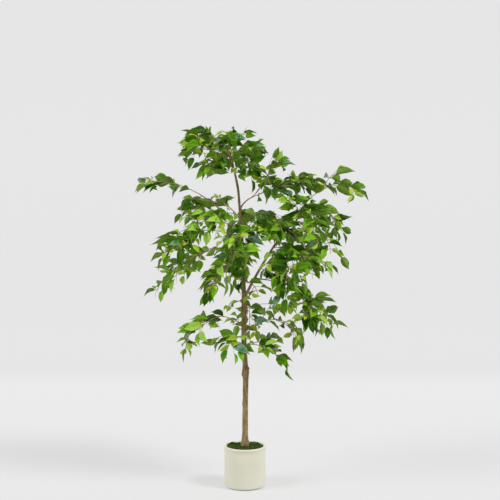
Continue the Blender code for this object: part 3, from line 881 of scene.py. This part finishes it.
def rods(name, routes, sides):
    """A mesh of tapering closed rods, each given as a path and the radii at its two ends or all along."""
    curve = bpy.data.curves.new(name, "CURVE")
    curve.dimensions = "3D"
    curve.use_fill_caps = True
    curve.bevel_depth = 1.0
    curve.bevel_resolution = sides // 2 - 2
    for path, radii in routes:
        spline = curve.splines.new("POLY")
        spline.points.add(len(path) - 1)
        if len(radii) == 2:
            radii = np.linspace(radii[0], radii[1], len(path))
        spline.points.foreach_set("co", np.hstack((path, np.ones((len(path), 1)))).ravel())
        spline.points.foreach_set("radius", radii)
    drawn = bpy.data.objects.new(name, curve)
    bpy.context.scene.collection.objects.link(drawn)
    graph = bpy.context.evaluated_depsgraph_get()
    mesh = bpy.data.meshes.new_from_object(drawn.evaluated_get(graph))
    bpy.data.objects.remove(drawn)
    shape = bmesh.new()
    shape.from_mesh(mesh)
    bmesh.ops.remove_doubles(shape, verts=shape.verts, dist=1e-6)
    bmesh.ops.recalc_face_normals(shape, faces=shape.faces)
    shape.to_mesh(mesh)
    shape.free()
    mesh.shade_smooth()
    return mesh


def relieve(mesh, depth, knots=()):
    """Pushes a limb's surface in and out by the bark's ridges, and out at its knots."""
    centres = []
    for height, azimuth, out, wide in knots:
        radius = np.interp(height, *zip(*TRUNK_RADIUS))
        centres.append((trunk_point(height) + direction(azimuth, 0) * radius, out, wide))
    moved = []
    for vertex in mesh.vertices:
        spot = vertex.co
        grain = Vector((spot.x, spot.y, spot.z / BARK_STRETCH)) / BARK_SIZE
        ring = Vector((spot.x * RINGS_ACROSS, spot.y * RINGS_ACROSS, spot.z * RINGS_ALONG))
        push = depth * noise.fractal(grain, *BARK_FRACTAL)
        push += depth * RING_SHARE * noise.noise(ring)
        for centre, out, wide in centres:
            away = (Vector(centre) - spot).length / wide
            push += out * math.exp(-away * away * KNOT_EDGE)
        moved.append(spot + vertex.normal * push)
    for vertex, spot in zip(mesh.vertices, moved):
        vertex.co = spot


def collared(path, radii):
    """Radii along a limb that swell where it leaves its parent."""
    run = np.concatenate(([0.0], np.cumsum(np.linalg.norm(np.diff(path, axis=0), axis=1))))
    plain = np.interp(run, (0, run[-1]), radii)
    return plain * (1 + COLLAR_SWELL * np.exp(-((run / COLLAR) ** 2)))


def make_limbs(limbs, paints):
    """The trunk and the bare part of each bough, in bark."""
    path, radii = trunk_path(BARK_STEP)
    mesh = rods("bark_trunk", [(path, radii)], TRUNK_SIDES)
    relieve(mesh, BARK_DEPTH, TRUNK_KNOTS)
    trunk = add_piece("bark_trunk", mesh, [paints["trunk_bark"]])
    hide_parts("trunk")
    for name, limb in limbs.items():
        ends = LEADER_RADII if name == "leader" else LIMB_RADII
        cuts = max(2, round(length_of(limb) / (len(limb) - 1) / BARK_STEP))
        route = smooth(limb, cuts)
        mesh = rods(f"bark_{name}", [(route, collared(route, ends))], BOUGH_SIDES)
        relieve(mesh, BARK_DEPTH / 2)
        bough = add_piece(f"bark_{name}", mesh, [paints["young_bark"]])
        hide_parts(f"bough_{name}")


def blade_outline(share):
    """The blade's width at a share of its length: widest near 0.37, with a drawn-out drip tip."""
    body = np.sin(np.pi * np.minimum(share / DRIP_FROM, 1) ** WIDEST) ** ROUNDNESS
    drip = DRIP_WIDTH * np.minimum((1 - share) / (1 - DRIP_FROM), 1)
    return np.maximum(body, drip * np.clip(share * 4 - 2, 0, 1))


def blade_faces():
    """Faces of one closed blade: upper quads and ends first, then the same underneath."""
    columns = 2 * HALF_COLUMNS + 1
    rows = BLADE_ROWS - 1
    upper = np.arange(rows * columns).reshape(rows, columns)
    under = upper.copy()
    under[:, 1:-1] = rows * columns + np.arange(rows * (columns - 2)).reshape(rows, columns - 2)
    base = rows * columns + rows * (columns - 2)
    faces = []
    for grid, turn in ((upper, 1), (under, -1)):
        sheet = [(grid[i, j], grid[i, j + 1], grid[i + 1, j + 1], grid[i + 1, j])
                 for i in range(rows - 1) for j in range(columns - 1)]
        sheet += [(base, grid[0, j + 1], grid[0, j]) for j in range(columns - 1)]
        sheet += [(base + 1, grid[-1, j], grid[-1, j + 1]) for j in range(columns - 1)]
        faces.append([tuple(int(k) for k in face)[::turn] for face in sheet])
    return faces


def blade_points(leaf, looks):
    """Vertices of one blade, in the order that blade_faces names them, and its midrib."""
    twist = math.radians(looks.uniform(-TWIST, TWIST))
    wave = WAVE * looks.uniform(*WAVE_SHARE) * leaf.length
    turns, phase = looks.uniform(*WAVE_TURNS), looks.uniform(0, 2 * math.pi)
    share = np.linspace(0, 1, BLADE_ROWS + 1)
    angle = leaf.curl * (share - CURL_FROM)
    base = leaf.root + leaf.point * PETIOLE
    ahead = (np.sin(angle) - np.sin(angle[0])) / leaf.curl
    down = (np.cos(angle) - np.cos(angle[0])) / leaf.curl
    spine = base + (np.outer(ahead, leaf.point) + np.outer(down, leaf.face)) * leaf.length
    normal = np.outer(np.cos(angle), leaf.face) + np.outer(np.sin(angle), leaf.point)
    bent = twist * (share - TWIST_FROM)
    across = np.outer(np.cos(bent), leaf.across) + normal * np.sin(bent)[:, None]
    normal = normal * np.cos(bent)[:, None] - np.outer(np.sin(bent), leaf.across)
    half = np.linspace(-1, 1, 2 * HALF_COLUMNS + 1)
    width = blade_outline(share)[1:-1] * leaf.width
    side = width[:, None] * half / 2
    fold = (FOLD_RISE * np.abs(half) - FOLD_FALL * half**2) * width[:, None]
    ripple = np.sin(2 * np.pi * turns * share[1:-1] + phase)[:, None] * half * np.abs(half)
    lift = fold + ripple * wave * blade_outline(share)[1:-1][:, None]
    thick = THICKNESS * (1 - np.abs(half) ** 2)
    middle = spine[1:-1, None] + across[1:-1, None] * side[..., None]
    upper = middle + normal[1:-1, None] * (lift + thick / 2)[..., None]
    under = middle + normal[1:-1, None] * (lift - thick / 2)[..., None]
    points = np.vstack((upper.reshape(-1, 3), under[:, 1:-1].reshape(-1, 3), spine[:1], spine[-1:]))
    return points, spine


def blades_mesh(name, blades):
    """One mesh of many blades, with their undersides in a second material."""
    faces_of_one = blade_faces()
    count = len(blades[0])
    faces, marks = [], []
    for index in range(len(blades)):
        for mark, sheet in enumerate(faces_of_one):
            faces += [tuple(k + index * count for k in face) for face in sheet]
            marks += [mark] * len(sheet)
    mesh = bpy.data.meshes.new(name)
    mesh.from_pydata(np.vstack(blades).tolist(), [], faces)
    mesh.polygons.foreach_set("material_index", marks)
    mesh.shade_smooth()
    return mesh


def tone_of(looks):
    """A leaf tone, drawn by the tones' shares."""
    draw = looks.random()
    for tone, share in TONES:
        draw -= share
        if draw < 0:
            return tone
    return TONES[-1][0]


def make_foliage(masses, paints):
    """Twigs, petioles with midribs, and the blades in one piece for each tone."""
    looks = random.Random(LOOKS_SEED)
    stems, twigs, fine, ribs = [], [], [], []
    blades = {tone: [] for tone, share in TONES} | {"leaf_lime": []}
    for bough in BOUGHS:
        space, sprays = masses[bough.name]
        finer = fill(bough, space, sprays)
        stems.append((smooth(sprays[0][0]), STEM_RADII))
        twigs += [(smooth(path), TWIG_RADII) for path, leaves in sprays[1:]]
        fine += [(smooth(path), FINE_RADII) for path, leaves in finer]
        for path, leaves in sprays + finer:
            route = smooth(path)
            shared = tone_of(looks)
            for leaf in leaves:
                tone = shared if looks.random() < KEEPS_TONE else tone_of(looks)
                points, spine = blade_points(leaf, looks)
                blades["leaf_lime" if leaf.kind == "young" else tone].append(points)
                root = along(route, leaf.share)[0]
                middle = (root + spine[0]) / 2 + UP * PETIOLE_ARCH
                ribs.append((np.vstack((root, middle, spine[0])), PETIOLE_RADII))
                ribs.append((spine, MIDRIB_RADII))
    nodes = [f"foliage_{bough.name}" for bough in BOUGHS]
    made = {
        "twigs": (rods("twigs", stems + twigs, TWIG_SIDES), "twig_bark", "young_bark"),
        "fine_twigs": (rods("fine_twigs", fine, TWIG_SIDES), "twig_bark", "young_bark"),
        "petioles": (rods("petioles", ribs, FINE_SIDES), "leaf_rib", "leaf_green"),
    }
    for name, (mesh, paint, slot) in made.items():
        piece = add_piece(name, mesh, [paints[paint]])
        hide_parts(*nodes)
    for tone, points in blades.items():
        under = "lime_underside" if tone == "leaf_lime" else "leaf_underside"
        piece = add_piece(f"leaves_{tone[5:]}", blades_mesh(tone, points), [paints[tone], paints[under]])
        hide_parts(*nodes)


def turned(profile, steps):
    """A closed solid of revolution about Z, from points of radius and height that start and end on it."""
    shape = bmesh.new()
    verts = [shape.verts.new((radius, 0.0, height)) for radius, height in profile]
    edges = [shape.edges.new(pair) for pair in zip(verts, verts[1:])]
    bmesh.ops.spin(
        shape, geom=verts + edges, axis=(0, 0, 1), cent=(0, 0, 0), angle=2 * math.pi, steps=steps
    )
    bmesh.ops.remove_doubles(shape, verts=shape.verts, dist=1e-6)
    bmesh.ops.recalc_face_normals(shape, faces=shape.faces)
    mesh = bpy.data.meshes.new("turned")
    shape.to_mesh(mesh)
    shape.free()
    return mesh


def rounding(centre_radius, centre_height, radius, first, last, count):
    """Points of a quarter turn, or less, from one angle to another in degrees."""
    angles = np.radians(np.linspace(first, last, count))
    return [(centre_radius + radius * math.cos(a), centre_height + radius * math.sin(a)) for a in angles]


def make_pot(paints):
    """The source's pot, hollow down to below the moss, with grooves and a recessed foot in dark paint, which
    is a painted contact shadow.
    """
    outer = POT_DIAMETER / 2
    inner = outer - POT_WALL
    body = outer - RIM_STEP
    foot = body - POT_FOOT_ROUND - FOOT_INSET
    lip = POT_WALL / 2
    inside_floor = MOSS_LEVEL - POT_INSIDE_DEPTH
    step = POT_HEIGHT - RIM_HEIGHT
    groove = step - GROOVE_SPACING
    half = GROOVE_WIDTH / 2
    profile = [(0.0, inside_floor), (inner, inside_floor), (inner, POT_HEIGHT - lip)]
    profile += rounding(outer - lip, POT_HEIGHT - lip, lip, 180, 0, 17)[1:]
    profile += [(outer, step + half), (body - GROOVE_DEPTH, step), (body, step - half)]
    profile += [(body, groove + half), (body - GROOVE_DEPTH, groove), (body, groove - half)]
    profile += [(body, POT_HEIGHT * 0.6), (body, POT_HEIGHT * 0.3)]
    profile += rounding(body - POT_FOOT_ROUND, POT_FOOT_ROUND + FOOT_GAP, POT_FOOT_ROUND, 0, -90, 13)
    profile += [(foot, FOOT_GAP), (foot, 0.0), (0.0, 0.0)]
    mesh = turned(profile, POT_ROUND_STEPS)
    # The faces of the recessed foot take the dark paint: a painted contact shadow under the pot.
    for face in mesh.polygons:
        low = face.center.z < FOOT_GAP * 1.1 and math.hypot(*face.center.xy) < body - POT_FOOT_ROUND
        face.material_index = int(low)
    mesh.shade_smooth()
    pot = add_piece("pot_body", mesh, [paints["pot_cream"], paints["pot_foot_painted_shadow"]])
    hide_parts("pot")


def moss_height(x, y):
    """The height of the moss over a spot, with cushions, tufts and a dip towards the wall."""
    away = math.hypot(x, y) / (POT_DIAMETER / 2 - POT_WALL)
    cushions = noise.fractal(Vector((x, y, 0.3)) * CUSHION_SCALE, *CUSHION_FRACTAL)
    tufts = noise.fractal(Vector((x, y, 1.7)) * TUFT_SCALE, *TUFT_FRACTAL)
    return MOSS_LEVEL - MOSS_DIP * away**3 + MOSS_SWELL * cushions + MOSS_TUFT * tufts


def make_moss(paints):
    """A bed of moss that fills the pot's mouth, with short blades standing out of it."""
    edge = POT_DIAMETER / 2 - POT_WALL - GAP
    shape = bmesh.new()
    bmesh.ops.create_grid(shape, x_segments=MOSS_STEPS, y_segments=MOSS_STEPS, size=edge)
    for vertex in shape.verts:
        x, y = vertex.co.x / edge, vertex.co.y / edge
        vertex.co.x = edge * x * math.sqrt(1 - y * y / 2)
        vertex.co.y = edge * y * math.sqrt(1 - x * x / 2)
        vertex.co.z = moss_height(vertex.co.x, vertex.co.y)
    rim = [side for side in shape.edges if side.is_boundary]
    skirt = bmesh.ops.extrude_edge_only(shape, edges=rim)["geom"]
    for vertex in (part for part in skirt if isinstance(part, bmesh.types.BMVert)):
        vertex.co.z = MOSS_LEVEL - MOSS_DEPTH
    bmesh.ops.holes_fill(shape, edges=[side for side in shape.edges if side.is_boundary])
    bmesh.ops.recalc_face_normals(shape, faces=shape.faces)
    mesh = bpy.data.meshes.new("moss_bed")
    shape.to_mesh(mesh)
    shape.free()
    mesh.shade_smooth()
    rng = random.Random(MOSS_SEED)
    blades = []
    for _ in range(MOSS_BLADES):
        reach = (edge - MOSS_EDGE) * math.sqrt(rng.random())
        around = rng.uniform(0, 2 * math.pi)
        x, y = reach * math.cos(around), reach * math.sin(around)
        foot = np.array((x, y, moss_height(x, y) - MOSS_BLADE_ROOT))
        rise = direction(rng.uniform(0, 360), rng.uniform(*MOSS_BLADE_RISE))
        lean = rise * rng.uniform(*MOSS_BLADE)
        blade = np.vstack((foot, foot + lean * MOSS_BLADE_BEND, foot + lean - UP * MOSS_BLADE_NOD))
        blades.append((blade, MOSS_BLADE_RADII))
    bed = add_piece("moss_bed", mesh, [paints["moss_green"]])
    tufts = add_piece("moss_tufts", rods("moss_tufts", blades, FINE_SIDES), [paints["moss_green"]])
    for piece in (bed, tufts):
        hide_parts("moss")


def make_stage(paints):
    """A seamless pale sweep and soft light."""
    angles = np.radians(np.linspace(-90, 0, 13))
    profile = [(-SWEEP_HALF, 0.0), (SWEEP_BACK - SWEEP_ROUND, 0.0)]
    profile += [
        (SWEEP_BACK - SWEEP_ROUND + SWEEP_ROUND * math.cos(a), SWEEP_ROUND + SWEEP_ROUND * math.sin(a))
        for a in angles[1:]
    ]
    profile += [(SWEEP_BACK, SWEEP_TOP)]
    points = [(side * SWEEP_HALF, y, z) for y, z in profile for side in (-1, 1)]
    faces = [(2 * i, 2 * i + 1, 2 * i + 3, 2 * i + 2) for i in range(len(profile) - 1)]
    mesh = bpy.data.meshes.new("sweep")
    mesh.from_pydata(points, [], faces)
    mesh.materials.append(paints["floor"])
    mesh.shade_smooth()
    sweep = bpy.data.objects.new("sweep", mesh)
    bpy.context.scene.collection.objects.link(sweep)
    for name, (azimuth, height, strength, breadth) in LAMPS.items():
        lamp = bpy.data.lights.new(name, "SUN")
        lamp.energy = strength
        lamp.angle = math.radians(breadth)
        hung = bpy.data.objects.new(name, lamp)
        hung.rotation_euler = Vector(direction(azimuth, height)).to_track_quat("Z", "Y").to_euler()
        bpy.context.scene.collection.objects.link(hung)
    world = bpy.data.worlds.new("studio")
    world.use_nodes = True
    world.node_tree.nodes["Background"].inputs["Color"].default_value = (1.0, 1.0, 1.0, 1.0)
    world.node_tree.nodes["Background"].inputs["Strength"].default_value = WORLD_LIGHT
    bpy.context.scene.world = world
    bpy.context.scene.view_settings.view_transform = "Standard"


def make_camera():
    lens = bpy.data.cameras.new("camera")
    lens.sensor_width = SENSOR
    lens.lens = FOCAL_LENGTH_PER_WIDTH * SENSOR
    camera = bpy.data.objects.new("camera", lens)
    camera.location = CAMERA_PLACE
    camera.rotation_euler = (math.radians(90), 0, 0)
    bpy.context.scene.collection.objects.link(camera)
    bpy.context.scene.camera = camera


def main():
    paints = make_paints()
    make_camera()
    make_stage(paints)
    limbs, stems = limbs_and_stems()
    make_limbs(limbs, paints)
    make_foliage(grow(limbs, stems), paints)
    make_pot(paints)
    make_moss(paints)


main()
